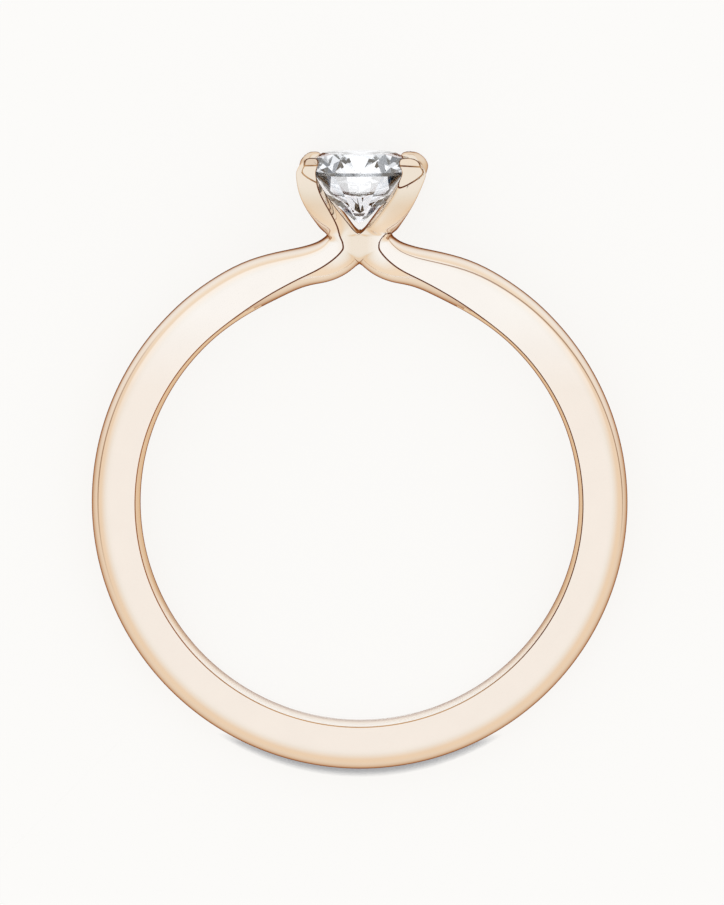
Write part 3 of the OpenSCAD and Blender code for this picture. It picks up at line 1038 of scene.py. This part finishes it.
def band(value, middle, half_width):
    """1 where the value is at the middle, down to 0 at half a width away."""
    return fade(abs(value - middle), half_width, -half_width)


def build_world(colours):
    world = bpy.data.worlds.new("studio")
    bpy.context.scene.world = world
    world.use_nodes = True
    nodes = Nodes(world.node_tree)
    directions = nodes.add("ShaderNodeTexCoord").outputs["Generated"]
    right, up, back = camera_axes()
    across, along, above = (nodes.lean(directions, axis) for axis in (right, up, back))
    head_side = fade(along, HEAD_LIGHT_START, HEAD_LIGHT_FADE)
    shine = nodes.blend(head_side, nodes.ramp(above, SIDE_STOPS), nodes.ramp(above, HEAD_STOPS))

    box_middle = (right * RIGHT_BOX[0] + up * RIGHT_BOX[1] + back * RIGHT_BOX[2]).normalized()
    right_edge = (
        band(nodes.lean(directions, box_middle), RIGHT_BOX_LEAN, RIGHT_BOX_WIDTH)
        * fade(across, *RIGHT_BOX_ACROSS) * fade(along, *RIGHT_BOX_ALONG))
    left_edge = (
        band(above, LEFT_BOX_LEAN, LEFT_BOX_WIDTH)
        * fade(across, *LEFT_BOX_ACROSS) * fade(along, *LEFT_BOX_ALONG))
    shine = nodes.blend((right_edge + left_edge).clamp(), shine, colours.box_edge)
    past_top = (
        fade(abs(along - TABLE_LEAN), TABLE_REACH, -SOFT_EDGE) * fade(abs(across), TABLE_REACH, -SOFT_EDGE)
        * fade(above, TABLE_BEHIND, -SOFT_EDGE))
    shine = nodes.blend(past_top, shine, TABLE_LIGHT)

    # What lights the floor and shows behind it is plain, and what the stone shows is white with dark cards
    path = nodes.add("ShaderNodeLightPath")
    shine = nodes.blend(path.outputs["Is Glossy Ray"], colours.plain_light, shine)
    in_camera = fade(above, CAMERA_REACH, SOFT_EDGE)
    seen_in_stone = nodes.blend(in_camera, nodes.ramp(across, STONE_STOPS), colours.camera_dark)
    shine = nodes.blend(path.outputs["Is Transmission Ray"], shine, seen_in_stone)
    light = nodes.add("ShaderNodeBackground", sockets={"Color": shine, "Strength": 1.0})
    nodes.add("ShaderNodeOutputWorld", sockets={"Surface": light.outputs["Background"]})


class RING_OT_band_and_claws(bpy.types.Operator):
    """Model the shank, its shoulders and the four claws as one smooth skin of metal"""

    bl_idname = "ring.band_and_claws"
    bl_label = "Band and Claws"

    def execute(self, context):
        if "band_and_claws" not in frame["nodes"]:
            raise RuntimeError("the frame has no band_and_claws to stand for")
        sizes = context.scene.ring_sizes
        colours = context.scene.ring_colours
        deselect_all()
        count = 2 * len(cage_section(shank_half(math.pi, sizes))) - 2
        bpy.ops.mesh.primitive_circle_add(vertices=count, radius=1, fill_type="NOTHING", location=(0, 0, 0))
        metal = context.object
        metal.name = "gold_ring"
        metal.data.name = "gold_ring"
        metal.data.materials.append(gold_finish(METAL_SLOTS[0], colours, colours.gold_rim))
        metal.data.materials.append(edge_finish(METAL_SLOTS[1], colours))
        metal.data.materials.append(gold_finish(
            METAL_SLOTS[2], colours, colours.finger_side_rim, FINGER_SIDE_POLISH,
            FINGER_SIDE_BOTTOM_MIRROR))
        rows = raise_shoulder(metal, sizes, spin_shank(metal, sizes))
        claw = raise_claw(metal, [*rows[-1], *open_slit(metal, rows[-1])])
        mark_edges(metal, sizes, rows, claw)
        apply_modifier(
            metal, "Four quarters", "MIRROR", use_axis=(True, False, True), merge_threshold=WELD)
        merge_and_face_out(metal)
        crease_right_shoulder(metal, rows, claw)
        set_claws(metal)
        apply_modifier(metal, "Smooth skin", "SUBSURF", levels=2, render_levels=2)
        file_tips(metal)
        finish_finger_side(metal, sizes)
        round_edges(metal, sizes)
        lay_down(metal)
        bpy.ops.object.shade_smooth_by_angle(angle=SMOOTH_ANGLE)
        if not metal.data.polygons:
            raise RuntimeError("the metal came out empty")
        # The stone shows the studio's light and no metal through it
        metal.visible_transmission = False
        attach(metal, "root")
        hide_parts("band_and_claws")
        return {"FINISHED"}


class RING_OT_stone(bpy.types.Operator):
    """Give the round brilliant stone its clear finish"""

    bl_idname = "ring.stone"
    bl_label = "Stone"

    def execute(self, context):
        stone = frame["nodes"].get("stone")
        if stone is None:
            raise RuntimeError("the frame has no stone")
        stone.data.materials.clear()
        stone.data.materials.append(stone_finish("clear_cut_stone", context.scene.ring_colours))
        # A clear stone leaves no dark shadow on the claws and the floor
        stone.visible_shadow = False
        return {"FINISHED"}


class RING_OT_studio(bpy.types.Operator):
    """Lay the pale floor and set up the soft light and the camera"""

    bl_idname = "ring.studio"
    bl_label = "Studio"

    def execute(self, context):
        colours = context.scene.ring_studio
        build_floor(colours)
        build_world(colours)
        build_camera()
        context.scene.view_settings.view_transform = "Standard"
        if context.scene.camera is None:
            raise RuntimeError("the studio has no camera")
        return {"FINISHED"}


PARTS = (RING_OT_band_and_claws, RING_OT_stone, RING_OT_studio)


class RING_PT_parts(bpy.types.Panel):
    """Lists the ring's parts in the sidebar"""

    bl_label = "Solitaire Ring"
    bl_space_type = "VIEW_3D"
    bl_region_type = "UI"
    bl_category = "Ring"

    def draw(self, context):
        for part in PARTS:
            self.layout.operator(part.bl_idname)
        for group in (context.scene.ring_sizes, context.scene.ring_colours, context.scene.ring_studio):
            box = self.layout.box()
            for name in group.__annotations__:
                box.prop(group, name)


GROUPS = {"ring_sizes": RingSizes, "ring_colours": FinishColours, "ring_studio": StudioColours}


def register():
    for kind in (*GROUPS.values(), *PARTS, RING_PT_parts):
        bpy.utils.register_class(kind)
    for name, kind in GROUPS.items():
        setattr(bpy.types.Scene, name, bpy.props.PointerProperty(type=kind))


def unregister():
    for name in GROUPS:
        delattr(bpy.types.Scene, name)
    for kind in (RING_PT_parts, *reversed(PARTS), *reversed(list(GROUPS.values()))):
        bpy.utils.unregister_class(kind)


def clear_startup():
    """Remove what an empty scene starts with, and keep the frame."""
    kept = {*frame["nodes"].values(), *frame["bodies"].values()}
    for thing in list(bpy.data.objects):
        if thing not in kept:
            bpy.data.objects.remove(thing)


def main():
    clear_startup()
    register()
    bpy.ops.ring.band_and_claws()
    bpy.ops.ring.stone()
    bpy.ops.ring.studio()


if __name__ == "__main__":
    main()
